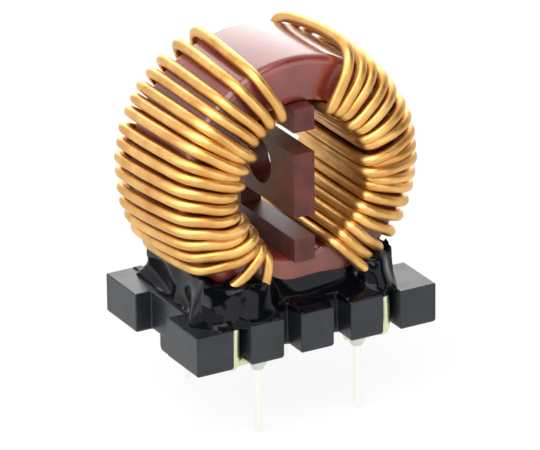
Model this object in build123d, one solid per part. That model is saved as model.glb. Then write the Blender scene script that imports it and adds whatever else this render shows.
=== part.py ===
"""Common mode choke: a cased toroidal core with two windings, stood on edge on a four pin header.

Frame: millimetres, +Z up, +Y towards the back, the core's axis along Y.
The origin is the centre of the seating plane, which is the underside of the header's stand-off feet.
Angles round the core are measured from the horizontal, upwards, on the side that the winding is on.
"""
from build123d import *
from math import cos, radians, sin
import os

# ---- Header: the moulded base -------------------------------------------------------------
header_length = 24.0        # along X
header_width = 16.8         # along Y
header_height = 3.75
header_lower_radius = 0.35  # round of the lower edges
header_edge_radius = 0.12   # round of the upright and upper edges
slot_pitch = 5.0            # wire slots along each long side
slots_per_side = 4
slot_width = 1.7
slot_depth = 2.35
notch_length = 5.7          # recess in the middle of each end, along Y
notch_depth = 1.6
foot_height = 1.6           # stand-off under the header
foot_length = 4.1           # along Y
foot_thickness = 1.8        # along X
foot_corner_radius = 0.5
saddle_depth = 0.25         # how deep the core case beds into the header's top

# ---- Pins ---------------------------------------------------------------------------------
pin_pitch_x = 10.0
pin_pitch_y = 13.0
pin_diameter = 0.65
pin_below_seat = 5.8        # pin length under the seating plane
pin_in_header = 2.9         # pin length moulded into the header
pin_tip_chamfer = 0.15

# ---- Core case, its cover and the magnetic core -------------------------------------------
case_outer_radius = 11.4
case_bore_radius = 7.25
case_depth = 10.0           # along Y
case_wall = 0.8             # outer and inner walls
case_floor = 0.8            # wall at the back
case_edge_radius = 0.4
cover_thickness = 0.8
cover_ledge = 0.25          # how far the cover laps onto each wall
cover_clearance = 0.03
core_clearance = 0.15       # damping gap round the magnetic core

# ---- Divider between the windings ---------------------------------------------------------
divider_thickness = 2.05    # along X
divider_depth = 12.4        # along Y
divider_clearance = 0.04    # to the bore
divider_web_height = 5.9    # middle bar
divider_slot_height = 2.05  # each of the two slots
divider_slot_depth = 9.6    # from the front edge
divider_hole_radius = 2.1
divider_hole_rise = 0.4     # hole centre above the core's axis

# ---- Windings -----------------------------------------------------------------------------
turns = 18                  # passes through the bore, on each side
wire_diameter = 0.96        # over the enamel
wire_gap_case = 0.05        # wire to case, on the rim and in the bore
wire_gap_face = 0.2         # wire to case, on the front and back faces
wire_gap_lead = 0.06        # lead to the turns that it lies over
wire_bend_radius = 0.9      # centre line, where a turn goes round the case's edges
layer_lift = 0.6             # how far every other turn rides up on its neighbours in the bore
lead_points = 8             # corner points of a route that belong to a lead or lie beside it
bore_angle_top = 71.0
bore_angle_bottom = -56.0
rim_angle_top = 66.0
rim_angle_bottom = -50.0
loose_top_turn = 1.35       # how far the right winding's top turn stands off the rim
loose_decay = 0.42          # share of that which each next turn keeps
loose_peak_y = 1.7          # where along Y a loose turn leaves the rim
back_lead_angles = (25.0, -35.0)    # where a back lead crosses the turns and reaches the rim
lead_face_angle = {"left": -66.0, "right": -56.0}    # where a front lead leaves the case's face
lead_slot_inset = 0.5       # lead to the bottom of its wire slot
lead_pin_gap = 0.1          # lead to the pin that it is soldered to

# ---- Solder and adhesive ------------------------------------------------------------------
solder_height = 1.25
solder_seat_gap = 0.1       # least clearance to the seating plane
solder_top_radius = 1.15
solder_tip_radius = 0.5
adhesive_length = 21.4      # at the header's top
adhesive_width = 14.6
adhesive_height = 3.2
adhesive_taper = 24.0       # degrees from upright
adhesive_corner_radius = 2.0
adhesive_gap = 0.03         # to the wires that it beds round
adhesive_clear_wires = 3    # wire diameters that it keeps inwards of the lowest turn

# ---- Levels and places that follow --------------------------------------------------------
header_bottom = foot_height
header_top = header_bottom + header_height
axis_height = header_top - saddle_depth + case_outer_radius
solder_bottom = max(header_bottom - solder_height, solder_seat_gap)
wire_radius = wire_diameter / 2
pin_radius = pin_diameter / 2
bore_path_radius = case_bore_radius - wire_gap_case - wire_radius
rim_path_radius = case_outer_radius + wire_gap_case + wire_radius
face_path_y = case_depth / 2 + wire_gap_face + wire_radius
cover_inner_radius = case_bore_radius + case_wall - cover_ledge
cover_outer_radius = case_outer_radius - case_wall + cover_ledge
sides = {"left": -1, "right": 1}
ends = {"front": -1, "back": 1}


def disc(radius, y_low, y_high):
    """A plain disc about the core's axis, between two places along Y."""
    turned = Rot(90, 0, 0) * Cylinder(radius, y_high - y_low)
    return Pos(0, (y_low + y_high) / 2, axis_height) * turned


def ring(outer, inner, y_low, y_high):
    """A plain ring about the core's axis, between two places along Y."""
    return disc(outer, y_low, y_high) - disc(inner, y_low, y_high)


def upright_box(length, width, z_low, z_high, x=0.0, y=0.0):
    """A box centred on x and y, from one level to another."""
    return Pos(x, y, (z_low + z_high) / 2) * Box(length, width, z_high - z_low)


def pin_places():
    """Each pin's name with its place along X and Y."""
    for end, end_sign in ends.items():
        for side, side_sign in sides.items():
            yield f"{end}_{side}", side_sign * pin_pitch_x / 2, end_sign * pin_pitch_y / 2


# ---- Header -------------------------------------------------------------------------------
def make_header():
    """Block with wire slots down both long sides, an end notch each end and two feet."""
    body = upright_box(header_length, header_width, header_bottom, header_top)
    first_slot = -slot_pitch * (slots_per_side - 1) / 2
    for sign in ends.values():
        y = sign * (header_width / 2 - slot_depth / 2)
        for number in range(slots_per_side):
            x = first_slot + number * slot_pitch
            body -= upright_box(slot_width, slot_depth, header_bottom, header_top, x, y)
    for sign in sides.values():
        x = sign * (header_length / 2 - notch_depth / 2)
        body -= upright_box(notch_depth, notch_length, header_bottom, header_top, x)
    body = fillet(body.edges().filter_by(Axis.Z), header_edge_radius)
    body = fillet(body.edges().group_by(Axis.Z)[-1], header_edge_radius)
    body = fillet(body.edges().group_by(Axis.Z)[0], header_lower_radius)

    foot_x = header_length / 2 - notch_depth - header_lower_radius - foot_thickness / 2
    for sign in sides.values():
        foot = upright_box(foot_thickness, foot_length, 0, header_bottom, sign * foot_x)
        lower_edges = foot.edges().filter_by(Axis.X).group_by(Axis.Z)[0]
        body += fillet(lower_edges, foot_corner_radius)

    body -= disc(case_outer_radius, -case_depth / 2, case_depth / 2)
    for _, x, y in pin_places():
        body -= pin_root(x, y, header_bottom)
    return body


def pin_root(x, y, z_low):
    """The square top of a pin, from a level up to its end in the header."""
    return upright_box(pin_diameter, pin_diameter, z_low, header_bottom + pin_in_header, x, y)


def make_pin(x, y):
    """Round shank with a chamfered tip, and a square root that is moulded into the header."""
    place = Pos(x, y, (solder_bottom - pin_below_seat) / 2)
    shank = place * Cylinder(pin_radius, solder_bottom + pin_below_seat)
    shank = chamfer(shank.edges().group_by(Axis.Z)[0], pin_tip_chamfer)
    return shank + pin_root(x, y, solder_bottom)


# ---- Core ---------------------------------------------------------------------------------
def make_case():
    """Trough with its mouth at the front and a rebate there for the cover."""
    front = -case_depth / 2
    back = case_depth / 2
    shell = ring(case_outer_radius, case_bore_radius, front, back)
    shell = fillet(shell.edges().filter_by(GeomType.CIRCLE), case_edge_radius)
    shell -= ring(case_outer_radius - case_wall, case_bore_radius + case_wall,
                  front, back - case_floor)
    return shell - ring(cover_outer_radius, cover_inner_radius, front, front + cover_thickness)


def make_cover():
    """Flat ring that lies in the case's rebate, flush with its rim."""
    front = -case_depth / 2
    return ring(cover_outer_radius - cover_clearance, cover_inner_radius + cover_clearance,
                front, front + cover_thickness)


def make_core():
    """Tape wound magnetic ring inside the case, standing on the case's floor."""
    return ring(case_outer_radius - case_wall - core_clearance,
                case_bore_radius + case_wall + core_clearance,
                -case_depth / 2 + cover_thickness + core_clearance,
                case_depth / 2 - case_floor)


def make_divider():
    """Plate across the bore: three bars joined at the back, with a round hole in the middle bar."""
    bore_fit = case_bore_radius - divider_clearance
    plate = disc(bore_fit, -divider_depth / 2, divider_depth / 2)
    plate &= Pos(0, 0, axis_height) * Box(divider_thickness, divider_depth, 2 * bore_fit)
    slot_y = -divider_depth / 2 + divider_slot_depth / 2
    for sign in (-1, 1):
        z = axis_height + sign * (divider_web_height + divider_slot_height) / 2
        plate -= Pos(0, slot_y, z) * Box(divider_thickness, divider_slot_depth, divider_slot_height)
    hole = Rot(0, 90, 0) * Cylinder(divider_hole_radius, divider_thickness)
    return plate - Pos(0, 0, axis_height + divider_hole_rise) * hole


# ---- Windings -----------------------------------------------------------------------------
def on_core(side, radius, angle, y):
    """The point at a radius and an angle from the core's axis, on one side of it."""
    across = side * radius * cos(radians(angle))
    return Vector(across, y, axis_height + radius * sin(radians(angle)))


def between(low, high, number, count):
    """The value at a step of an even run from low to high."""
    return low + (high - low) * number / (count - 1)


def tail(side, end):
    """A lead's last points: behind its pin, beside the pin, under its slot and above the slot."""
    slot_x = side * slot_pitch * (slots_per_side - 1) / 2
    slot_y = end * (header_width / 2 - slot_depth + wire_radius + lead_slot_inset)
    behind_pin = end * (pin_pitch_y / 2 - pin_radius - lead_pin_gap - wire_radius)
    under = header_bottom - wire_radius - wire_gap_case
    return [
        Vector(side * (pin_pitch_x / 2 - pin_diameter), behind_pin, under),
        Vector(side * (pin_pitch_x / 2 + wire_bend_radius), behind_pin, under),
        Vector(slot_x, slot_y, under),
        Vector(slot_x, slot_y, header_top + wire_diameter),
    ]


def front_lead(side):
    """From beside the front pin, out under the header, up its slot and onto the case's face."""
    angle = lead_face_angle["left" if side < 0 else "right"]
    on_face = on_core(side, case_outer_radius - wire_diameter, angle, -face_path_y)
    return tail(side, ends["front"]) + [on_face]


def back_lead(side):
    """From the top of the bore, down over the turns on the back and through the header's slot."""
    over_turns = face_path_y + layer_lift + wire_diameter + wire_gap_lead
    return [
        on_core(side, case_bore_radius + wire_diameter, bore_angle_top, over_turns),
        on_core(side, case_bore_radius + wire_diameter, back_lead_angles[0], over_turns),
        on_core(side, case_outer_radius - wire_diameter, back_lead_angles[1], over_turns),
    ] + tail(side, ends["back"])[::-1]


def winding_route(side, loose):
    """The wire's corner points, from the front pin round every turn to the back pin."""
    points = front_lead(side)
    for turn in range(turns):
        bore_angle = between(bore_angle_bottom, bore_angle_top, turn, turns)
        lift = layer_lift * (turn % 2)
        points.append(on_core(side, bore_path_radius - lift, bore_angle, -face_path_y - lift))
        points.append(on_core(side, bore_path_radius - lift, bore_angle, face_path_y + lift))
        if turn == turns - 1:
            break
        rim_angle = between(rim_angle_bottom, rim_angle_top, turn, turns - 1)
        stand_off = loose * loose_decay ** (turns - 2 - turn)
        points.append(on_core(side, rim_path_radius, rim_angle, face_path_y))
        if stand_off > wire_radius:
            points.append(on_core(side, rim_path_radius + stand_off, rim_angle, loose_peak_y))
        points.append(on_core(side, rim_path_radius + stand_off, rim_angle, -face_path_y))
    return points + back_lead(side)


def tube(points, radius):
    """A round tube along straight runs, with every corner bent to the wire's bend radius."""
    radii = [wire_bend_radius] * (len(points) - 2)
    route = FilletPolyline(*points, radius=radii)
    section = Plane(origin=route @ 0, z_dir=route % 0) * Circle(radius)
    return sweep(section, path=route)


# ---- Solder and adhesive ------------------------------------------------------------------
def make_solder(x, y, winding, pin):
    """Cone of solder under the header that joins a lead's end to its pin."""
    cone = Cone(solder_tip_radius, solder_top_radius, header_bottom - solder_bottom)
    blob = Pos(x, y, (header_bottom + solder_bottom) / 2) * cone
    return blob - winding - pin


def make_adhesive(routes):
    """Mound of adhesive between the header's top and the underside of the wound core."""
    footprint = RectangleRounded(adhesive_length, adhesive_width, adhesive_corner_radius)
    mound = extrude(Pos(0, 0, header_top) * footprint, adhesive_height, taper=adhesive_taper)
    mound -= disc(case_outer_radius, -case_depth / 2, case_depth / 2)

    wound_y = face_path_y + wire_radius + adhesive_gap
    wound_radius = rim_path_radius + wire_radius + adhesive_gap
    inner_x = rim_path_radius * cos(radians(rim_angle_bottom)) - adhesive_clear_wires * wire_diameter
    wound = disc(wound_radius, -wound_y, wound_y)
    wound -= upright_box(2 * inner_x, 2 * header_width, 0, 2 * axis_height)
    mound -= wound
    for points in routes.values():
        for lead in (points[:lead_points], points[-lead_points:]):
            mound -= tube(lead, wire_radius + adhesive_gap)
    return mound


# ---- The parts ----------------------------------------------------------------------------
def make_parts():
    """Every named piece."""
    parts = {
        "header": make_header(),
        "core_case": make_case(),
        "core_cover": make_cover(),
        "magnetic_core": make_core(),
        "divider": make_divider(),
    }
    routes = {
        "left": winding_route(sides["left"], 0.0),
        "right": winding_route(sides["right"], loose_top_turn),
    }
    windings = {side: tube(points, wire_radius) for side, points in routes.items()}
    for side, winding in windings.items():
        parts[f"winding_{side}"] = winding
    for name, x, y in pin_places():
        pin = make_pin(x, y)
        parts[f"pin_{name}"] = pin
        parts[f"solder_{name}"] = make_solder(x, y, windings[name.split("_")[1]], pin)
    parts["adhesive"] = make_adhesive(routes)
    return parts


os.makedirs("parts", exist_ok=True)
for node, shape in make_parts().items():
    export_step(shape, f"parts/{node}.step")
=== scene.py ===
"""Looks of an upright common mode choke: windings, cased core, divider, header, pins and adhesive.

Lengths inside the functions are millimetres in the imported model's frame: +Z up, the core's axis along Y.
They are turned to metres where a mesh, a light or the camera is made.
"""
from math import cos, pi, radians, sin

import bmesh
import bpy
import numpy as np
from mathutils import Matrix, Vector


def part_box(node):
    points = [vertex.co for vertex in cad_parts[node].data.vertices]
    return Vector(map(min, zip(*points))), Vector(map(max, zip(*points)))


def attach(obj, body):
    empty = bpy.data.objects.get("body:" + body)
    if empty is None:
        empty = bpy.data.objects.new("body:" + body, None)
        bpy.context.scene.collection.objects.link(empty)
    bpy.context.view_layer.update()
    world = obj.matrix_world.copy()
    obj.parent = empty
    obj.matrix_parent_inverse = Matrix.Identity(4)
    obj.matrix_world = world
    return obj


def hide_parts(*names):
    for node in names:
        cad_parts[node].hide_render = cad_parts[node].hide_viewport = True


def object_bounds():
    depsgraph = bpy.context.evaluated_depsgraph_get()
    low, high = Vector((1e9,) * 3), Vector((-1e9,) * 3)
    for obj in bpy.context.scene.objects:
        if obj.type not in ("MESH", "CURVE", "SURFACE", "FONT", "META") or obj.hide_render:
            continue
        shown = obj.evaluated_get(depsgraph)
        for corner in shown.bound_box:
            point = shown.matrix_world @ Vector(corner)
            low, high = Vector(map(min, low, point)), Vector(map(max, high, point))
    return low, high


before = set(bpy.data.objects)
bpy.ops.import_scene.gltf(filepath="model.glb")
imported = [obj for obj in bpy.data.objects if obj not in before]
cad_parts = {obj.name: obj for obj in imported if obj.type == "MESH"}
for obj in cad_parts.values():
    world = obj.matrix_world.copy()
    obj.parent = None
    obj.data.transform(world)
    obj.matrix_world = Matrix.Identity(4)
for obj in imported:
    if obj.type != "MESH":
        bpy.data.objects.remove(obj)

import openvdb
from bpy.props import FloatProperty, FloatVectorProperty, IntProperty, PointerProperty, StringProperty
from mathutils import Matrix, Vector

bl_info = {
    "name": "Upright choke looks",
    "version": (1, 0, 0),
    "blender": (4, 5, 0),
    "location": "3D View > Sidebar > Choke",
    "description": "Builds the windings, adhesive and finishes of an upright toroidal choke",
    "category": "Object",
}

MM = 0.001
CAD_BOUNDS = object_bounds()
LEFT, RIGHT = -1, 1


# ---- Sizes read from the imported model, in millimetres -------------------------------------
def node_box(node):
    """Lowest and highest corner of a node."""
    low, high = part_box(node)
    return low / MM, high / MM


HEADER_LOW, HEADER_HIGH = node_box("header")
CASE_LOW, CASE_HIGH = node_box("core_case")
DIVIDER_LOW, DIVIDER_HIGH = node_box("divider")
PIN_LOW, PIN_HIGH = node_box("pin_front_left")
AXIS_HEIGHT = (CASE_LOW.z + CASE_HIGH.z) / 2
CASE_RADIUS = (CASE_HIGH.x - CASE_LOW.x) / 2
CASE_HALF_DEPTH = (CASE_HIGH.y - CASE_LOW.y) / 2
BORE_RADIUS = (DIVIDER_HIGH.z - DIVIDER_LOW.z) / 2 + 0.04
HEADER_TOP = HEADER_HIGH.z
HEADER_BOTTOM = node_box("solder_front_left")[1].z    # the solder hangs from it
SLOT_X = 7.5            # the wire slots that the leads pass through
SLOT_Y = HEADER_HIGH.y - 1.5
SLOT_PLACES = (-7.5, -2.5, 2.5, 7.5)
SLOT_HALF_WIDTH = 0.85
SLOT_DEPTH = 2.35
NOTCH_DEPTH = 1.6       # the recess in the middle of each end
NOTCH_HALF_LENGTH = 2.85
PIN_X = -(PIN_LOW.x + PIN_HIGH.x) / 2
PIN_Y = -(PIN_LOW.y + PIN_HIGH.y) / 2
PIN_RADIUS = (PIN_HIGH.x - PIN_LOW.x) / 2


# ---- Colours and small helpers ------------------------------------------------------------
NOISE_LOW, NOISE_HIGH = 0.3, 0.7


def linear(hex_colour):
    """An sRGB hex colour as the linear red, green, blue and alpha that Blender mixes."""
    channels = [int(hex_colour[i:i + 2], 16) / 255 for i in (1, 3, 5)]
    return [c / 12.92 if c <= 0.04045 else ((c + 0.055) / 1.055) ** 2.4 for c in channels] + [1.0]


def add_node(tree, kind, settings=None, values=None, links=None, stops=None):
    """Adds a node, sets its properties, sockets and colour stops, and links its inputs."""
    node = tree.nodes.new(kind)
    for name, value in (settings or {}).items():
        setattr(node, name, value)
    for socket, value in (values or {}).items():
        node.inputs[socket].default_value = value
    for socket, source in (links or {}).items():
        tree.links.new(source, node.inputs[socket])
    if stops:
        for element, (position, colour) in zip(node.color_ramp.elements, stops):
            element.position = position
            element.color = colour
    return node


def new_material(name, values):
    """A material with its shader's constants set: the material, its tree, shader and coordinates."""
    material = bpy.data.materials.new(name)
    material.use_nodes = True
    tree = material.node_tree
    tree.nodes.clear()
    shader = add_node(tree, "ShaderNodeBsdfPrincipled", values=values)
    add_node(tree, "ShaderNodeOutputMaterial", links={"Surface": shader.outputs[0]})
    place = add_node(tree, "ShaderNodeTexCoord")
    return material, tree, shader, place.outputs["Object"]


def features(size_mm, detail):
    """Noise settings for features about that many millimetres across."""
    return {"Scale": 1 / (size_mm * MM), "Detail": detail}


def shades(dark, light):
    """Colour stops over the middle of a noise, where nearly all of its values lie."""
    return [(NOISE_LOW, linear(dark)), (NOISE_HIGH, linear(light))]


def spread(low, high):
    """Range settings that take the middle of a noise to between two values."""
    return {"From Min": NOISE_LOW, "From Max": NOISE_HIGH, "To Min": low, "To Max": high}


def relief(height_mm, strength):
    """Bump settings for a height in millimetres."""
    return {"Distance": height_mm * MM, "Strength": strength}


def ease(t):
    """Smooth step from 0 to 1, on a number or an array."""
    t = np.clip(t, 0.0, 1.0)
    return t * t * (3 - 2 * t)


# ---- Materials ----------------------------------------------------------------------------
def enamelled_copper(wire):
    """Copper magnet wire under baked amber enamel: soft gold lines along the strand.

    The ends are tinned, and turn pale. The enamel's runs are drawn coarser than the real ones.
    """
    material, tree, shader, place = new_material("enamelled_copper_wire", {
        "Metallic": 1.0, "Coat Weight": 0.12, "Coat Roughness": 0.12, "Coat IOR": 1.55})
    blotches = add_node(tree, "ShaderNodeTexNoise", values=features(2.6, 3.0), links={"Vector": place})
    amber = add_node(tree, "ShaderNodeValToRGB", links={"Fac": blotches.outputs["Fac"]},
                     stops=shades(wire.enamel_dark, wire.enamel_light))
    tin = add_node(tree, "ShaderNodeAttribute", {"attribute_name": "tin"})
    colour = add_node(tree, "ShaderNodeMix", {"data_type": "RGBA"}, {7: linear(wire.tin_colour)},
                      {0: tin.outputs["Fac"], 6: amber.outputs["Color"]})
    runs = add_node(tree, "ShaderNodeTexNoise", values=features(0.35, 4.0), links={"Vector": place})
    gloss = add_node(tree, "ShaderNodeMapRange", values=spread(0.34, 0.46),
                     links={"Value": runs.outputs["Fac"]})
    waves = add_node(tree, "ShaderNodeBump", values=relief(0.02, 0.5),
                     links={"Height": runs.outputs["Fac"]})
    tree.links.new(colour.outputs[2], shader.inputs["Base Color"])
    tree.links.new(gloss.outputs["Result"], shader.inputs["Roughness"])
    tree.links.new(waves.outputs["Normal"], shader.inputs["Normal"])
    return material


def moulded_case(core):
    """Brick red moulded thermoplastic with a glossy skin: soft sink marks and a faint orange peel."""
    material, tree, shader, place = new_material("moulded_case_plastic", {
        "IOR": 1.54, "Coat Weight": 0.7, "Coat Roughness": 0.16})
    sinks = add_node(tree, "ShaderNodeTexNoise", values=features(4.0, 3.0), links={"Vector": place})
    colour = add_node(tree, "ShaderNodeValToRGB", links={"Fac": sinks.outputs["Fac"]},
                      stops=shades(core.case_dark, core.case_light))
    gloss = add_node(tree, "ShaderNodeMapRange", values=spread(0.24, 0.34),
                     links={"Value": sinks.outputs["Fac"]})
    peel = add_node(tree, "ShaderNodeTexNoise", values=features(0.5, 2.0), links={"Vector": place})
    skin = add_node(tree, "ShaderNodeBump", values=relief(0.02, 0.7),
                    links={"Height": peel.outputs["Fac"]})
    tree.links.new(colour.outputs["Color"], shader.inputs["Base Color"])
    tree.links.new(gloss.outputs["Result"], shader.inputs["Roughness"])
    tree.links.new(skin.outputs["Normal"], shader.inputs["Normal"])
    return material


def moulded_divider(core):
    """Maroon moulded plate: satin faces with a grainy skin, the grain drawn coarse enough to show."""
    material, tree, shader, place = new_material("moulded_divider_plastic", {
        "Roughness": 0.42, "Specular IOR Level": 0.3})
    flow = add_node(tree, "ShaderNodeTexNoise", values=features(1.4, 3.0), links={"Vector": place})
    colour = add_node(tree, "ShaderNodeValToRGB", links={"Fac": flow.outputs["Fac"]},
                      stops=shades(core.divider_dark, core.divider_light))
    grain = add_node(tree, "ShaderNodeTexNoise", values=features(0.16, 3.0), links={"Vector": place})
    skin = add_node(tree, "ShaderNodeBump", values=relief(0.02, 0.7),
                    links={"Height": grain.outputs["Fac"]})
    tree.links.new(colour.outputs["Color"], shader.inputs["Base Color"])
    tree.links.new(skin.outputs["Normal"], shader.inputs["Normal"])
    return material


def moulded_header(header):
    """Black glass filled moulding: satin, with the mould's pits drawn coarse enough to show."""
    material, tree, shader, place = new_material("moulded_header_plastic", {})
    flow = add_node(tree, "ShaderNodeTexNoise", values=features(2.5, 4.0), links={"Vector": place})
    colour = add_node(tree, "ShaderNodeValToRGB", links={"Fac": flow.outputs["Fac"]},
                      stops=shades(header.plastic_dark, header.plastic_light))
    gloss = add_node(tree, "ShaderNodeMapRange", values=spread(0.28, 0.42),
                     links={"Value": flow.outputs["Fac"]})
    pits = add_node(tree, "ShaderNodeTexNoise", values=features(0.2, 3.0), links={"Vector": place})
    skin = add_node(tree, "ShaderNodeBump", values=relief(0.02, 0.6),
                    links={"Height": pits.outputs["Fac"]})
    tree.links.new(colour.outputs["Color"], shader.inputs["Base Color"])
    tree.links.new(gloss.outputs["Result"], shader.inputs["Roughness"])
    tree.links.new(skin.outputs["Normal"], shader.inputs["Normal"])
    return material


def tinned_pin(header):
    """Tin plated copper pin, drawn and cut: nearly white, with a soft lengthwise shine."""
    material, tree, shader, place = new_material("tin_plated_pin", {
        "Base Color": linear(header.pin_colour), "Metallic": 1.0})
    plating = add_node(tree, "ShaderNodeTexNoise", values=features(0.8, 3.0), links={"Vector": place})
    gloss = add_node(tree, "ShaderNodeMapRange", values=spread(0.22, 0.36),
                     links={"Value": plating.outputs["Fac"]})
    skin = add_node(tree, "ShaderNodeBump", values=relief(0.004, 0.5),
                    links={"Height": plating.outputs["Fac"]})
    tree.links.new(gloss.outputs["Result"], shader.inputs["Roughness"])
    tree.links.new(skin.outputs["Normal"], shader.inputs["Normal"])
    return material


def solder_alloy(header):
    """Lead free solder, frozen from the pot: pale grey with a slightly dull skin."""
    material, tree, shader, place = new_material("solder_alloy", {
        "Base Color": linear(header.solder_colour), "Metallic": 1.0})
    frost = add_node(tree, "ShaderNodeTexNoise", values=features(0.5, 3.0), links={"Vector": place})
    gloss = add_node(tree, "ShaderNodeMapRange", values=spread(0.25, 0.45),
                     links={"Value": frost.outputs["Fac"]})
    skin = add_node(tree, "ShaderNodeBump", values=relief(0.03, 0.6),
                    links={"Height": frost.outputs["Fac"]})
    tree.links.new(gloss.outputs["Result"], shader.inputs["Roughness"])
    tree.links.new(skin.outputs["Normal"], shader.inputs["Normal"])
    return material


def cured_adhesive(adhesive):
    """Black epoxy, poured and cured: wet gloss with shallow ripples."""
    material, tree, shader, place = new_material("cured_black_epoxy", {
        "Base Color": linear(adhesive.colour), "Roughness": 0.12, "IOR": 1.5,
        "Specular IOR Level": 0.18})
    ripple = add_node(tree, "ShaderNodeTexNoise", values=features(2.4, 1.0), links={"Vector": place})
    skin = add_node(tree, "ShaderNodeBump", values=relief(0.06, 0.5),
                    links={"Height": ripple.outputs["Fac"]})
    tree.links.new(skin.outputs["Normal"], shader.inputs["Normal"])
    return material


def ring_core():
    """Tape wound soft magnetic ring, sealed in the case: dull grey metal."""
    material, tree, shader, place = new_material("tape_wound_magnetic_core", {
        "Base Color": linear("#6E6F72"), "Metallic": 1.0})
    layers = add_node(tree, "ShaderNodeTexNoise", values=features(0.3, 2.0), links={"Vector": place})
    gloss = add_node(tree, "ShaderNodeMapRange", values=spread(0.4, 0.55),
                     links={"Value": layers.outputs["Fac"]})
    tree.links.new(gloss.outputs["Result"], shader.inputs["Roughness"])
    return material


# ---- Meshes -------------------------------------------------------------------------------
def mesh_object(name, vertices, faces, material):
    """A smooth shaded mesh object at the origin, from points in millimetres."""
    mesh = bpy.data.meshes.new(name)
    mesh.from_pydata((np.asarray(vertices) * MM).tolist(), [], faces)
    mesh.materials.append(material)
    mesh.shade_smooth()
    piece = bpy.data.objects.new(name, mesh)
    bpy.context.scene.collection.objects.link(piece)
    return piece


def mesh_points(mesh):
    """A mesh's vertices as an array, in millimetres."""
    places = np.empty(len(mesh.vertices) * 3)
    mesh.vertices.foreach_get("co", places)
    return places.reshape(-1, 3) / MM


def outward(mesh):
    """Turns every face of a closed mesh outwards."""
    shape = bmesh.new()
    shape.from_mesh(mesh)
    bmesh.ops.recalc_face_normals(shape, faces=shape.faces)
    shape.to_mesh(mesh)
    shape.free()


def place_piece(piece, slot, *replaced):
    """The piece rides on the fixed part and stands for its CAD nodes, which it hides. The slot is not
    used.
    """
    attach(piece, "root")
    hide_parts(*replaced)


def dress(nodes, material):
    """Gives CAD nodes a material, with their shape as it is."""
    for node in nodes:
        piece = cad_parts[node]
        piece.data.materials.clear()
        piece.data.materials.append(material)


# ---- Case ---------------------------------------------------------------------------------
# The case's corners: radius, front or back, radius of the round, and the angle where it starts.
CASE_CORNERS = (
    (CASE_RADIUS, -1, 0.8, 0),
    (CASE_RADIUS, 1, 0.45, 90),
    (BORE_RADIUS, 1, 0.4, 180),
    (BORE_RADIUS, -1, 0.4, 270),
)
CORNER_STEPS = 6
CASE_STEPS = 240


def case_profile():
    """The closed case's section, as radius and place along Y, with its four rounded corners."""
    points = []
    for radius, end, bend, start in CASE_CORNERS:
        centre = radius - bend if start < 180 else radius + bend
        for step in range(CORNER_STEPS + 1):
            turn = radians(start + step * 90 / CORNER_STEPS)
            points.append((centre + bend * sin(turn),
                           end * (CASE_HALF_DEPTH - bend) - bend * cos(turn)))
    points += [(BORE_RADIUS + inwards, -CASE_HALF_DEPTH) for inwards in (1.2, 2.4)]
    return points


# ---- Windings -----------------------------------------------------------------------------
# Each turn's angle above the horizontal, from the top turn down: where it lies on the rim, and
# where it lies in the bore. "over" says how far some turns ride up on their neighbours there.
TURN_LAY = {
    LEFT: {
        "rim": (68, 59, 50, 43.5, 37, 31.5, 26, 19, 13, 7, 1, -6, -12, -18.5, -25, -33.5, -50),
        "bore": (72, 62, 53.5, 45.5, 35, 30.5, 23.5, 17, 11.5, 3, -5, -13.5, -23, -29, -37, -44.5,
                 -50.5, -56),
        "over": {4: 0.7, 6: 0.6, 8: 0.6, 12: 0.6, 14: 0.7, 16: 0.3},
        "lean": 1.0,
        "loose": (0.0, 0.0),
        "lead": (-60, -66),
    },
    RIGHT: {
        "rim": (66, 57, 50, 41.5, 34.5, 25.5, 18.5, 11.5, 5, -1, -8, -14, -21, -28, -36, -45, -51),
        "bore": (68, 59.5, 53, 44, 34.5, 25.5, 19.5, 9, 4, -1, -8, -12.5, -21, -30, -38, -46.5,
                 -55, -65),
        "over": {3: 0.45, 5: 0.2, 7: 0.7, 9: 0.75, 13: 0.3, 15: 0.15},
        "lean": 0.6,
        "loose": (0.5, 0.85),
        "lead": (-62, -58),
    },
}
LOOSE_DECAY = 0.3       # share of a loose turn's stand off that the next one keeps
BORE_GAP = 0.06         # wire to the case in the bore
BORE_STRAIGHT = 3.2     # half length of the straight run through the bore
BORE_BEND = 1.2         # how far inwards of the face a turn starts to bend
RIM_STRAIGHT = 3.8      # where along Y a turn lies down on the rim at the back
RIM_WANDER = 0.12       # most that a turn stands off the rim by chance
BORE_WANDER = 0.08      # most that a turn rides up in the bore by chance
LEAD_TO_PIN = 0.08
LEAD_TO_HEADER = 0.05
LEAD_OVER_TURNS = 0.35  # a back lead to the turns that it lies over
WIRE_STEP = 0.3         # length of one ring of the wire's mesh
TIN_BELOW_TOP = 0.6     # the tin starts this far below the header's top
TIN_FADE = 0.8          # and is full this much lower


def on_core(side, radius, angle, y):
    """The point at a radius and an angle in degrees above the horizontal, on one side of the core."""
    across = side * radius * cos(radians(angle))
    return Vector((across, y, AXIS_HEIGHT + radius * sin(radians(angle))))


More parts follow.
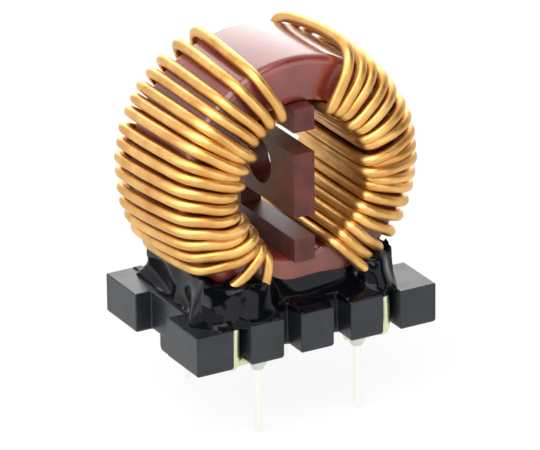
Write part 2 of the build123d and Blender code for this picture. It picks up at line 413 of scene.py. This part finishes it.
def turn_points(side, wire, wander, turn):
    """A turn's control points: out of the bore, over the back, the rim and the front, into the bore.

    Each is a radius, an angle above the horizontal and a place along Y.
    """
    lay = TURN_LAY[side]
    half = wire.diameter / MM / 2
    bulge = wire.bulge / MM
    rim = CASE_RADIUS + wire.stand_off / MM + half + wander.uniform(0.0, RIM_WANDER)
    face = CASE_HALF_DEPTH + half + bulge
    bore = BORE_RADIUS - BORE_GAP - half
    lift = lay["over"].get(turn, wander.uniform(0.0, BORE_WANDER))
    angle = lay["rim"][turn]
    lean = lay["lean"] * (0.075 * angle - 2.8)
    lift_back = lay["over"].get(turn + 1, 0.0)
    low_bore, high_bore = lay["bore"][turn + 1], lay["bore"][turn]
    high, front = [amount * LOOSE_DECAY ** turn for amount in lay["loose"]]
    back = [
        (bore - lift_back, low_bore, BORE_STRAIGHT),
        (bore - lift_back + 0.05, low_bore, face - BORE_BEND),
        (bore - lift_back * 0.7 + 0.15, low_bore, face + 0.1 + lift_back * 0.5),
        (bore + 1.7, low_bore * 0.7 + (angle + lean) * 0.3, face + 0.05 + lift_back * 0.3),
        (rim - 2.2, low_bore * 0.2 + (angle + lean) * 0.8 + high, face),
        (rim - high * 0.6, angle + lean + high * 2.2, face),
        (rim + 0.1 + high * 0.2, angle + lean * 0.85 + high * 2.2, RIM_STRAIGHT),
    ]
    over = [(rim + 0.15 + high, angle + lean * 0.5 + high * 2.0, 0.6)]
    ahead = [
        (rim + 0.05 + high * 0.5 + front * 0.6, angle + high * 1.2, -2.8),
        (rim - 0.4 + front, angle * 0.97 + high_bore * 0.03, -face + 0.85 - front * 0.4),
        (rim - 2.3 + front * 0.5, high_bore * 0.27 + angle * 0.73, -face - front * 0.3),
        (bore + 1.9, high_bore * 0.8 + angle * 0.2, -face - 0.15 - lift * 0.4),
        (bore - lift * 0.8 + 0.15, high_bore, -face - 0.1 - lift * 0.7),
        (bore - lift + 0.05, high_bore, -face + BORE_BEND),
        (bore - lift, high_bore, -BORE_STRAIGHT),
    ]
    return [on_core(side, *place) for place in back + over + ahead]


def wire_route(side, wire):
    """Points that steer one winding, from its front pin round each turn to its back pin."""
    lay = TURN_LAY[side]
    half = wire.diameter / MM / 2
    face = CASE_HALF_DEPTH + half + wire.bulge / MM
    bore = BORE_RADIUS - BORE_GAP - half
    wander = np.random.default_rng(wire.seed + side)
    count = len(lay["rim"])
    inner, outer = lay["lead"]
    points = lead_points(side, -1, half)
    points += [
        on_core(side, CASE_RADIUS - 1.2, outer, -face),
        on_core(side, CASE_RADIUS - 2.8, inner * 0.5 + outer * 0.5, -face - 0.1),
        on_core(side, bore + 0.6, inner, -face - 0.15),
        on_core(side, bore, lay["bore"][count], -face + 0.9),
        on_core(side, bore, lay["bore"][count], -BORE_STRAIGHT),
    ]
    for turn in reversed(range(count)):
        points += turn_points(side, wire, wander, turn)
    top = lay["bore"][0]
    over = face + 2 * half + LEAD_OVER_TURNS
    points += [
        on_core(side, bore, top, BORE_STRAIGHT),
        on_core(side, bore + 0.1, top, over - 1.0),
        on_core(side, bore + 0.6, top - 4, over),
        on_core(side, bore + 1.2, top * 0.55, over + 0.1),
        on_core(side, bore + 2.2, top * 0.1, over + 0.05),
        on_core(side, CASE_RADIUS - 1.2, -35, over),
    ]
    points += lead_points(side, 1, half)[::-1]
    return points


def lead_points(side, end, half):
    """A lead from behind its pin, out under the header and up its slot to the header's top."""
    under = HEADER_BOTTOM - half - LEAD_TO_HEADER
    behind = end * (PIN_Y - PIN_RADIUS - LEAD_TO_PIN - half)
    slot_y = end * SLOT_Y
    return [
        Vector((side * (PIN_X - 0.65), behind, under)),
        Vector((side * (PIN_X + 0.9), behind, under)),
        Vector((side * (SLOT_X - 0.3), behind, under)),
        Vector((side * (SLOT_X + 0.1), slot_y - end * 0.4, under)),
        Vector((side * (SLOT_X + 0.1), slot_y, under + 0.6)),
        Vector((side * (SLOT_X + 0.1), slot_y, HEADER_BOTTOM + 0.9)),
        Vector((side * (SLOT_X + 0.05), slot_y, HEADER_TOP - 0.8)),
        Vector((side * (SLOT_X - 0.15), slot_y - end * 0.15, HEADER_TOP + 0.6)),
    ]


def wire_tree(material):
    """Geometry Nodes: a round tube with closed ends along the object's smoothed spline."""
    tree = bpy.data.node_groups.new("round_wire", "GeometryNodeTree")
    sockets = tree.interface
    sockets.new_socket("Geometry", in_out="INPUT", socket_type="NodeSocketGeometry")
    sockets.new_socket("Wire radius", in_out="INPUT", socket_type="NodeSocketFloat")
    sockets.new_socket("Sides", in_out="INPUT", socket_type="NodeSocketInt")
    sockets.new_socket("Step", in_out="INPUT", socket_type="NodeSocketFloat")
    sockets.new_socket("Geometry", in_out="OUTPUT", socket_type="NodeSocketGeometry")
    given = add_node(tree, "NodeGroupInput").outputs
    smooth = add_node(tree, "GeometryNodeCurveSplineType", {"spline_type": "NURBS"},
                      links={"Curve": given["Geometry"]})
    even = add_node(tree, "GeometryNodeResampleCurve", {"mode": "LENGTH"},
                    links={"Curve": smooth.outputs[0], "Length": given["Step"]})
    profile = add_node(tree, "GeometryNodeCurvePrimitiveCircle",
                       links={"Resolution": given["Sides"], "Radius": given["Wire radius"]})
    tube = add_node(tree, "GeometryNodeCurveToMesh", values={"Fill Caps": True},
                    links={"Curve": even.outputs[0], "Profile Curve": profile.outputs[0]})
    shaded = add_node(tree, "GeometryNodeSetShadeSmooth", links={"Geometry": tube.outputs[0]})
    real = add_node(tree, "GeometryNodeRealizeInstances", links={"Geometry": shaded.outputs[0]})
    coated = add_node(tree, "GeometryNodeSetMaterial", values={"Material": material},
                      links={"Geometry": real.outputs[0]})
    add_node(tree, "NodeGroupOutput", links={"Geometry": coated.outputs[0]})
    return tree


def baked(name, maker, tree, inputs):
    """The plain mesh object that a Geometry Nodes tree makes of another object."""
    modifier = maker.modifiers.new("make", "NODES")
    modifier.node_group = tree
    for item in tree.interface.items_tree:
        if item.in_out == "INPUT" and item.name in inputs:
            modifier[item.identifier] = inputs[item.name]
    graph = bpy.context.evaluated_depsgraph_get()
    mesh = bpy.data.meshes.new_from_object(maker.evaluated_get(graph), depsgraph=graph)
    mesh.name = name
    bpy.data.objects.remove(maker)
    piece = bpy.data.objects.new(name, mesh)
    bpy.context.scene.collection.objects.link(piece)
    return piece


def spline_object(name, points):
    """A curve object with one open smooth spline through the middle of its points."""
    curve = bpy.data.curves.new(name, "CURVE")
    curve.dimensions = "3D"
    curve.resolution_u = 4
    spline = curve.splines.new("NURBS")
    spline.points.add(len(points) - 1)
    for control, point in zip(spline.points, points):
        control.co = (*(point * MM), 1.0)
    spline.order_u = 4
    spline.use_endpoint_u = True
    maker = bpy.data.objects.new(name, curve)
    bpy.context.scene.collection.objects.link(maker)
    return maker


def mark_tin(mesh):
    """Stores how much of each point of the wire is tinned: its ends, below the header's top."""
    heights = mesh_points(mesh)[:, 2]
    layer = mesh.attributes.new("tin", "FLOAT", "POINT")
    layer.data.foreach_set("value", 1.0 - ease((heights - HEADER_TOP + TIN_BELOW_TOP) / TIN_FADE))


# ---- Adhesive -----------------------------------------------------------------------------
# Where the lumps lie along X, how far they reach to each side and how high they rise.
LEAD_LUMPS = ((-7.2, 4.0, 3.1), (7.3, 1.2, 3.0))
LUMP_Y, LUMP_HALF_WIDTH, LUMP_RISE = -5.3, 2.1, 0.3
SLAB_HALF_LENGTH, SLAB_HALF_WIDTH = 10.2, 7.4   # where the meniscus starts on the header's top
SLAB_INSET = 0.25       # and how far it keeps inside the header's outline
MENISCUS_END = 5.5      # from here outwards along X the meniscus gets shorter,
MENISCUS_FADE = 4.0     # over this length,
MENISCUS_LOSS = 0.85    # by this share
WALL_HALF_LENGTH, WALL_HALF_WIDTH, WALL_SHIFT = 9.2, 5.3, 0.35
WALL_FLARE_X, WALL_FLARE_Y = 0.2, 1.5           # how much wider the wall's foot is
WALL_HEIGHT = 3.2
WALL_OUTSIDE_CASE = 0.7
POOL_HALF_LENGTH, POOL_SHIFT, POOL_INSET = 9.0, 0.5, 0.12
SKIN = 0.1              # how far under the wires' and the case's surface the blends start
BITE = 0.3              # how far the adhesive's own surface runs on inside them
SUNK = 0.35             # and below the header's top
PATH_MARGIN = 2.0       # wires this far above the adhesive still shape it


def smooth_union(a, b, reach):
    """Union of two distance fields with a round fillet between them."""
    blend = np.maximum(reach - np.abs(a - b), 0.0) / reach
    return np.minimum(a, b) - blend * blend * reach / 4


def box_distance(x, y, z, low, high):
    """Signed distance to an upright box."""
    centre = [(a + b) / 2 for a, b in zip(low, high)]
    half = [(b - a) / 2 for a, b in zip(low, high)]
    q = [np.abs(v - c) - h for v, c, h in zip((x, y, z), centre, half)]
    outside = np.sqrt(sum(np.maximum(v, 0.0) ** 2 for v in q))
    return outside + np.minimum(np.maximum(np.maximum(q[0], q[1]), q[2]), 0.0)


def wires_distance(x, y, z, paths, half):
    """Distance to the nearest wire, up to 3 mm, from points along the windings near the header."""
    grid = np.stack([x.ravel(), y.ravel(), z.ravel()], 1).astype(np.float32)
    nearest = np.full(len(grid), 9.0, np.float32)
    for point in paths:
        gap = ((grid - point) ** 2).sum(1)
        np.minimum(nearest, gap, out=nearest)
    return np.sqrt(nearest).reshape(x.shape) - half


def header_plan(x, y):
    """Signed distance, in plan, to the header's outline with its slots and end notches."""
    def rectangle(half_x, half_y, at_x=0.0, at_y=0.0):
        """Signed distance, in plan, to a rectangle's nearest side."""
        return np.maximum(np.abs(x - at_x) - half_x, np.abs(y - at_y) - half_y)

    plan = rectangle(HEADER_HIGH.x, HEADER_HIGH.y)
    for sign in (-1, 1):
        plan = np.maximum(plan, -rectangle(NOTCH_DEPTH, NOTCH_HALF_LENGTH, sign * HEADER_HIGH.x))
        for place in SLOT_PLACES:
            slot = rectangle(SLOT_HALF_WIDTH, SLOT_DEPTH, place, sign * HEADER_HIGH.y)
            plan = np.maximum(plan, -slot)
    return plan


def ripples(x, y, z, seed):
    """Even noise between about -1 and 1, of waves that run every way."""
    rng = np.random.default_rng(seed)
    total = np.zeros_like(x)
    for _ in range(14):
        way = rng.normal(size=3)
        way *= 2 * pi / rng.uniform(2.2, 6.0) / np.linalg.norm(way)
        total += np.sin(way[0] * x + way[1] * y + way[2] * z + rng.uniform(0, 2 * pi))
    return total / 4


def adhesive_field(adhesive, paths, half):
    """Signed distance to the cured mound on a grid, with the grid's corner and step."""
    step = adhesive.grid_step / MM
    low = np.array([HEADER_LOW.x + 0.1, HEADER_LOW.y + 0.1, HEADER_TOP - 0.6])
    high = np.array([HEADER_HIGH.x - 0.1, HEADER_HIGH.y - 0.1, HEADER_TOP + adhesive.climb / MM])
    counts = np.ceil((high - low) / step).astype(int)
    axes = [low[i] + step * np.arange(counts[i]) for i in range(3)]
    x, y, z = np.meshgrid(*axes, indexing="ij")
    above = z - HEADER_TOP
    wave = ripples(x, y, z, adhesive.seed)
    plan = header_plan(x, y)

    # The meniscus between the header's top and the wound core, shorter towards the ends.
    slab = box_distance(x, y, z, (-SLAB_HALF_LENGTH, -SLAB_HALF_WIDTH, HEADER_LOW.z),
                        (SLAB_HALF_LENGTH, SLAB_HALF_WIDTH, HEADER_TOP))
    slab = np.maximum(slab, plan + SLAB_INSET + 0.1 * wave - 0.5 * above)
    around = np.sqrt(x ** 2 + (z - AXIS_HEIGHT) ** 2)
    case = np.maximum(around - CASE_RADIUS, np.abs(y) - CASE_HALF_DEPTH)
    coil = np.minimum(case, wires_distance(x, y, z, paths, half)) + SKIN
    shorter = 1 - MENISCUS_LOSS * ease((np.abs(x) - MENISCUS_END) / MENISCUS_FADE)
    reach = adhesive.fillet / MM * shorter * (1 + 0.16 * wave)
    mound = smooth_union(slab, coil, reach)
    mound = np.maximum(mound, np.maximum(slab, coil) - reach)

    # The wall that fills the space under the core, wider at its foot.
    foot = np.clip(1 - above / WALL_HEIGHT, 0.0, 1.0) ** 2
    ends = np.abs(x + WALL_SHIFT) - WALL_HALF_LENGTH - WALL_FLARE_X * foot
    faces = np.abs(y) - WALL_HALF_WIDTH - WALL_FLARE_Y * foot
    wall = np.maximum(ends, faces) + 0.15 * wave
    under = np.sqrt(np.maximum((CASE_RADIUS + WALL_OUTSIDE_CASE) ** 2 - x ** 2, 0.0))
    rising = z - AXIS_HEIGHT + under
    mound = smooth_union(mound, np.maximum(wall, rising), 0.9)

    # The lumps that drown the front leads.
    for centre, across, up in LEAD_LUMPS:
        from_middle = ((x - centre) / across) ** 2 + ((y - LUMP_Y) / LUMP_HALF_WIDTH) ** 2
        from_middle += ((above - LUMP_RISE) / up) ** 2
        mound = smooth_union(mound, (np.sqrt(from_middle) - 1) * 2.0 + 0.12 * wave, 1.5)

    # The thin pool on the header's top, and the cuts at the header and inside the core.
    pool = np.maximum(above - adhesive.pool / MM * (1 + 0.7 * wave), plan + POOL_INSET)
    pool = np.maximum(pool, np.abs(x + POOL_SHIFT + 0.5 * wave) - POOL_HALF_LENGTH)
    mound = smooth_union(mound, pool, 0.7) + 0.05 * wave
    mound = np.maximum(mound, -(above + SUNK))
    mound = np.maximum(mound, -(coil + BITE))
    return mound, low, step


def polygons_from_field(field, low, step):
    """Vertices and faces of a distance field's zero surface."""
    grid = openvdb.FloatGrid(1.0)
    grid.copyFromArray(field.astype(np.float32))
    points, triangles, quads = grid.convertToPolygons(isovalue=0.0, adaptivity=0.0)
    faces = [tuple(int(i) for i in face[::-1]) for face in triangles]
    faces += [tuple(int(i) for i in face[::-1]) for face in quads]
    return low + points * step, faces


# ---- Settings -----------------------------------------------------------------------------
def colour_text(name, description, default):
    """A setting that holds an sRGB hex colour."""
    return StringProperty(name=name, description=description, default=default)


class WireSettings(bpy.types.PropertyGroup):
    """Sizes and colours of the two windings."""
    diameter: FloatProperty(name="Wire diameter", description="Over the enamel",
                            default=1.0 * MM, unit="LENGTH", precision=5)
    bulge: FloatProperty(name="Bulge", description="Gap between the wire and the case's faces",
                         default=0.75 * MM, unit="LENGTH", precision=5)
    stand_off: FloatProperty(name="Stand off", description="Gap between the wire and the case's rim",
                             default=0.1 * MM, unit="LENGTH", precision=5)
    sides: IntProperty(name="Sides", description="Sides of the wire's round section", default=18,
                       subtype="UNSIGNED")
    seed: IntProperty(name="Seed", description="Changes how unevenly the turns lie", default=7)
    enamel_light: colour_text("Enamel, light", "Thin enamel over copper", "#EDBE73")
    enamel_dark: colour_text("Enamel, dark", "Thick enamel over copper", "#CE9850")
    tin_colour: colour_text("Tin", "Tinned ends of the leads", "#DDE2B8")


class CoreSettings(bpy.types.PropertyGroup):
    """Colours of the core's case and the divider."""
    case_light: colour_text("Case, light", "Case plastic where it is thin", "#83352B")
    case_dark: colour_text("Case, dark", "Case plastic where it is thick", "#611E17")
    divider_light: colour_text("Divider, light", "Divider plastic, light flow lines", "#5E2C28")
    divider_dark: colour_text("Divider, dark", "Divider plastic", "#47201D")


class HeaderSettings(bpy.types.PropertyGroup):
    """Colours of the header, its pins and their solder."""
    plastic_light: colour_text("Plastic, light", "Header plastic, worn places", "#1D232A")
    plastic_dark: colour_text("Plastic, dark", "Header plastic", "#12161B")
    pin_colour: colour_text("Pin", "Tin plating", "#F6FAF2")
    solder_colour: colour_text("Solder", "Solder at the pins", "#D5D7CC")


class AdhesiveSettings(bpy.types.PropertyGroup):
    """Shape and colour of the adhesive."""
    fillet: FloatProperty(name="Fillet", description="Reach of the meniscus", default=2.9 * MM,
                          unit="LENGTH", precision=5)
    climb: FloatProperty(name="Climb", description="Highest place above the header",
                         default=5.5 * MM, unit="LENGTH", precision=5)
    pool: FloatProperty(name="Pool", description="Thickness where it ran over the header's top",
                        default=0.14 * MM, unit="LENGTH", precision=5)
    seed: IntProperty(name="Seed", description="Changes the ripples", default=4)
    grid_step: FloatProperty(name="Grid step", description="Fineness of the shape",
                             default=0.16 * MM, unit="LENGTH", precision=5)
    colour: colour_text("Colour", "Cured adhesive", "#05070C")


class StageSettings(bpy.types.PropertyGroup):
    """The camera, the floor and the lights."""
    azimuth: FloatProperty(name="Azimuth", description="Camera's turn to the left of the front",
                           default=radians(29.14), subtype="ANGLE")
    elevation: FloatProperty(name="Elevation", description="Camera's height above the horizon",
                             default=radians(23.05), subtype="ANGLE")
    roll: FloatProperty(name="Roll", description="Camera's turn about its own axis",
                        default=radians(-0.587), subtype="ANGLE")
    distance: FloatProperty(name="Distance", description="Camera to the aim point",
                            default=500 * MM, unit="LENGTH")
    lens: FloatProperty(name="Lens", description="Focal length in millimetres", default=379.0,
                        unit="CAMERA")
    aim: FloatVectorProperty(name="Aim", description="Point in the middle of the picture",
                             default=(0.0, 0.0, 10.448 * MM), unit="LENGTH", precision=5)
    key: FloatProperty(name="Key light", description="Power of the lamp above", default=1.3,
                       unit="POWER")
    side: FloatProperty(name="Side light", description="Power of the lamp at the left", default=0.8,
                        unit="POWER")
    back: FloatProperty(name="Back light", description="Power of the lamp behind", default=1.7,
                        unit="POWER")
    fill: FloatProperty(name="Fill light", description="Power of the lamp at the front", default=0.5,
                        unit="POWER")
    world: FloatProperty(name="World", description="Strength of the light from all round",
                         default=0.45, subtype="FACTOR")


# ---- Operators ----------------------------------------------------------------------------
class CHOKE_OT_windings(bpy.types.Operator):
    """Winds both coils, with their leads, in place of the plain windings"""
    bl_idname = "choke.windings"
    bl_label = "Wind the coils"

    def execute(self, context):
        wire = context.scene.choke_wire
        material = enamelled_copper(wire)
        tree = wire_tree(material)
        for side, name in ((LEFT, "left"), (RIGHT, "right")):
            maker = spline_object(f"route_{name}", wire_route(side, wire))
            inputs = {"Wire radius": wire.diameter / 2, "Sides": wire.sides, "Step": WIRE_STEP * MM}
            piece = baked(f"enamelled_winding_{name}", maker, tree, inputs)
            mark_tin(piece.data)
            place_piece(piece, "winding", f"winding_{name}")
        return {"FINISHED"}


class CHOKE_OT_core(bpy.types.Operator):
    """Finishes the core's case, its cover, the core and the divider"""
    bl_idname = "choke.core"
    bl_label = "Finish the core"

    def execute(self, context):
        core = context.scene.choke_core
        profile = case_profile()
        vertices = []
        for step in range(CASE_STEPS):
            turn = 2 * pi * step / CASE_STEPS
            for radius, y in profile:
                sway = 0.03 * sin(3 * turn + y * 0.4) + 0.02 * sin(7 * turn - y)
                sway *= 1.0 if radius > CASE_RADIUS - 1 else 0.3
                swayed = radius * (1 + sway / 40)
                vertices.append((swayed * cos(turn), y, AXIS_HEIGHT + swayed * sin(turn)))
        count = len(profile)
        faces = []
        for step in range(CASE_STEPS):
            after = (step + 1) % CASE_STEPS
            for point in range(count):
                beyond = (point + 1) % count
                faces.append((step * count + point, step * count + beyond,
                              after * count + beyond, after * count + point))
        case = mesh_object("moulded_core_case", vertices, faces, moulded_case(core))
        outward(case.data)
        place_piece(case, "core_case", "core_case", "core_cover")
        dress(("divider",), moulded_divider(core))
        dress(("magnetic_core",), ring_core())
        return {"FINISHED"}


class CHOKE_OT_header(bpy.types.Operator):
    """Finishes the header, its pins and their solder"""
    bl_idname = "choke.header"
    bl_label = "Finish the header"

    def execute(self, context):
        header = context.scene.choke_header
        dress(("header",), moulded_header(header))
        places = [f"{end}_{side}" for end in ("front", "back") for side in ("left", "right")]
        dress([f"pin_{place}" for place in places], tinned_pin(header))
        dress([f"solder_{place}" for place in places], solder_alloy(header))
        return {"FINISHED"}


class CHOKE_OT_adhesive(bpy.types.Operator):
    """Pours the adhesive between the header and the wound core"""
    bl_idname = "choke.adhesive"
    bl_label = "Pour the adhesive"

    def execute(self, context):
        adhesive = context.scene.choke_adhesive
        wire = context.scene.choke_wire
        top = HEADER_TOP + adhesive.climb / MM + PATH_MARGIN
        near = []
        for name in ("left", "right"):
            places = mesh_points(bpy.data.objects[f"enamelled_winding_{name}"].data)
            rings = len(places) // wire.sides
            middles = places[:rings * wire.sides].reshape(-1, wire.sides, 3).mean(1)
            near += [middle for middle in middles if HEADER_TOP - 1 < middle[2] < top]
        field, low, step = adhesive_field(adhesive, np.array(near, np.float32),
                                          wire.diameter / MM / 2)
        points, faces = polygons_from_field(field, low, step)
        piece = mesh_object("cured_adhesive", points, faces, cured_adhesive(adhesive))
        place_piece(piece, "adhesive", "adhesive")
        return {"FINISHED"}


class CHOKE_OT_stage(bpy.types.Operator):
    """Sets the floor, the lights and the camera"""
    bl_idname = "choke.stage"
    bl_label = "Set the stage"

    def execute(self, context):
        stage = context.scene.choke_stage
        make_floor()
        make_world(stage.world)
        middle = Vector((0, 0, AXIS_HEIGHT)) * MM
        for name, (offset, size) in LAMPS.items():
            add_lamp(f"{name}_lamp", middle, Vector(offset), size, getattr(stage, name))
        add_camera(stage)
        context.scene.view_settings.view_transform = "Standard"
        return {"FINISHED"}


# ---- Stage --------------------------------------------------------------------------------
WHITE = (1.0, 1.0, 1.0, 1.0)
FLOOR_HALF_SIZE = 3.0               # metres
FLOOR_WHITE = 0.88                  # share of plain white in the floor, the rest takes the shadow
DARK_PATCH = (0.42, -0.74, 0.52)    # way to the dark part of the room in the reflections
# Each lamp's place from the core's middle and the length of its side, in metres.
LAMPS = {
    "key": ((-0.14, -0.12, 0.28), 0.34),
    "side": ((-0.36, 0.02, 0.12), 0.4),
    "back": ((0.20, 0.40, 0.20), 0.5),
    "fill": ((0.10, -0.34, 0.10), 0.3),
}


def make_floor():
    """A white floor under the pins that shows white to the camera and takes a soft shadow."""
    level = CAD_BOUNDS[0][2]
    corners = [(x * FLOOR_HALF_SIZE, y * FLOOR_HALF_SIZE, level)
               for x, y in ((-1, -1), (1, -1), (1, 1), (-1, 1))]
    mesh = bpy.data.meshes.new("floor")
    mesh.from_pydata(corners, [], [(0, 1, 2, 3)])
    material = bpy.data.materials.new("matt_white_paper")
    material.use_nodes = True
    tree = material.node_tree
    tree.nodes.clear()
    paper = add_node(tree, "ShaderNodeBsdfDiffuse", values={"Color": linear("#F4F4F2")})
    white = add_node(tree, "ShaderNodeEmission", values={"Color": WHITE, "Strength": 1.0})
    rays = add_node(tree, "ShaderNodeLightPath")
    seen = add_node(tree, "ShaderNodeMath", {"operation": "MAXIMUM"},
                    links={0: rays.outputs["Is Camera Ray"], 1: rays.outputs["Is Glossy Ray"]})
    share = add_node(tree, "ShaderNodeMath", {"operation": "MULTIPLY"}, {1: FLOOR_WHITE},
                     {0: seen.outputs[0]})
    mixed = add_node(tree, "ShaderNodeMixShader",
                     links={0: share.outputs[0], 1: paper.outputs[0], 2: white.outputs[0]})
    add_node(tree, "ShaderNodeOutputMaterial", links={"Surface": mixed.outputs[0]})
    mesh.materials.append(material)
    floor = bpy.data.objects.new("floor", mesh)
    bpy.context.scene.collection.objects.link(floor)


def make_world(strength):
    """Even light from all round, white behind the object, and a dark patch in its reflections."""
    world = bpy.data.worlds.new("studio")
    bpy.context.scene.world = world
    world.use_nodes = True
    tree = world.node_tree
    tree.nodes.clear()
    way = add_node(tree, "ShaderNodeTexCoord")
    facing = add_node(tree, "ShaderNodeVectorMath", {"operation": "DOT_PRODUCT"},
                      {1: DARK_PATCH}, {0: way.outputs["Generated"]})
    room = add_node(tree, "ShaderNodeValToRGB", links={"Fac": facing.outputs["Value"]},
                    stops=[(0.60, WHITE), (0.80, (0.05, 0.05, 0.06, 1.0))])
    light = add_node(tree, "ShaderNodeBackground", values={"Color": WHITE, "Strength": strength})
    mirrored = add_node(tree, "ShaderNodeBackground", values={"Strength": 1.0},
                        links={"Color": room.outputs["Color"]})
    white = add_node(tree, "ShaderNodeBackground", values={"Color": WHITE, "Strength": 1.0})
    rays = add_node(tree, "ShaderNodeLightPath")
    glossy = add_node(tree, "ShaderNodeMixShader",
                      links={0: rays.outputs["Is Glossy Ray"], 1: light.outputs[0],
                             2: mirrored.outputs[0]})
    mixed = add_node(tree, "ShaderNodeMixShader",
                     links={0: rays.outputs["Is Camera Ray"], 1: glossy.outputs[0],
                            2: white.outputs[0]})
    add_node(tree, "ShaderNodeOutputWorld", links={"Surface": mixed.outputs[0]})


def add_lamp(name, aim, offset, size, power):
    """A square soft lamp that faces a point."""
    data = bpy.data.lights.new(name, "AREA")
    data.size = size
    data.energy = power
    lamp = bpy.data.objects.new(name, data)
    lamp.location = aim + offset
    lamp.rotation_euler = (-offset).to_track_quat("-Z", "Y").to_euler()
    bpy.context.scene.collection.objects.link(lamp)


def add_camera(stage):
    """The camera, turned and raised about its aim point."""
    flat = cos(stage.elevation)
    back = Vector((-sin(stage.azimuth) * flat, -cos(stage.azimuth) * flat, sin(stage.elevation)))
    right = (-back).cross(Vector((0, 0, 1))).normalized()
    up = right.cross(-back)
    data = bpy.data.cameras.new("camera")
    data.lens = stage.lens
    data.clip_start = 0.01
    camera = bpy.data.objects.new("camera", data)
    turned = Matrix((right, up, back)).transposed().to_4x4()
    placed = Matrix.Translation(Vector(stage.aim) + back * stage.distance)
    camera.matrix_world = placed @ turned @ Matrix.Rotation(stage.roll, 4, "Z")
    bpy.context.scene.collection.objects.link(camera)
    bpy.context.scene.camera = camera


# ---- Panel and registration ---------------------------------------------------------------
class CHOKE_PT_panel(bpy.types.Panel):
    """Lists the steps that build the choke's looks"""
    bl_idname = "CHOKE_PT_panel"
    bl_label = "Upright choke"
    bl_space_type = "VIEW_3D"
    bl_region_type = "UI"
    bl_category = "Choke"

    def draw(self, context):
        for operator in OPERATORS:
            self.layout.operator(operator.bl_idname)
        for name in SETTINGS:
            group = getattr(context.scene, name)
            box = self.layout.box()
            for key in group.__annotations__:
                box.prop(group, key)


SETTINGS = {
    "choke_wire": WireSettings,
    "choke_core": CoreSettings,
    "choke_header": HeaderSettings,
    "choke_adhesive": AdhesiveSettings,
    "choke_stage": StageSettings,
}
OPERATORS = (CHOKE_OT_windings, CHOKE_OT_core, CHOKE_OT_header, CHOKE_OT_adhesive, CHOKE_OT_stage)


def register():
    """Registers the settings, the operators and the panel."""
    for name, group in SETTINGS.items():
        bpy.utils.register_class(group)
        setattr(bpy.types.Scene, name, PointerProperty(type=group))
    for operator in OPERATORS:
        bpy.utils.register_class(operator)
    bpy.utils.register_class(CHOKE_PT_panel)


def unregister():
    """Takes them out again."""
    bpy.utils.unregister_class(CHOKE_PT_panel)
    for operator in reversed(OPERATORS):
        bpy.utils.unregister_class(operator)
    for name, group in SETTINGS.items():
        delattr(bpy.types.Scene, name)
        bpy.utils.unregister_class(group)


def main():
    """Builds every piece."""
    register()
    for operator in OPERATORS:
        group, name = operator.bl_idname.split(".")
        getattr(getattr(bpy.ops, group), name)()


if __name__ == "__main__":
    main()
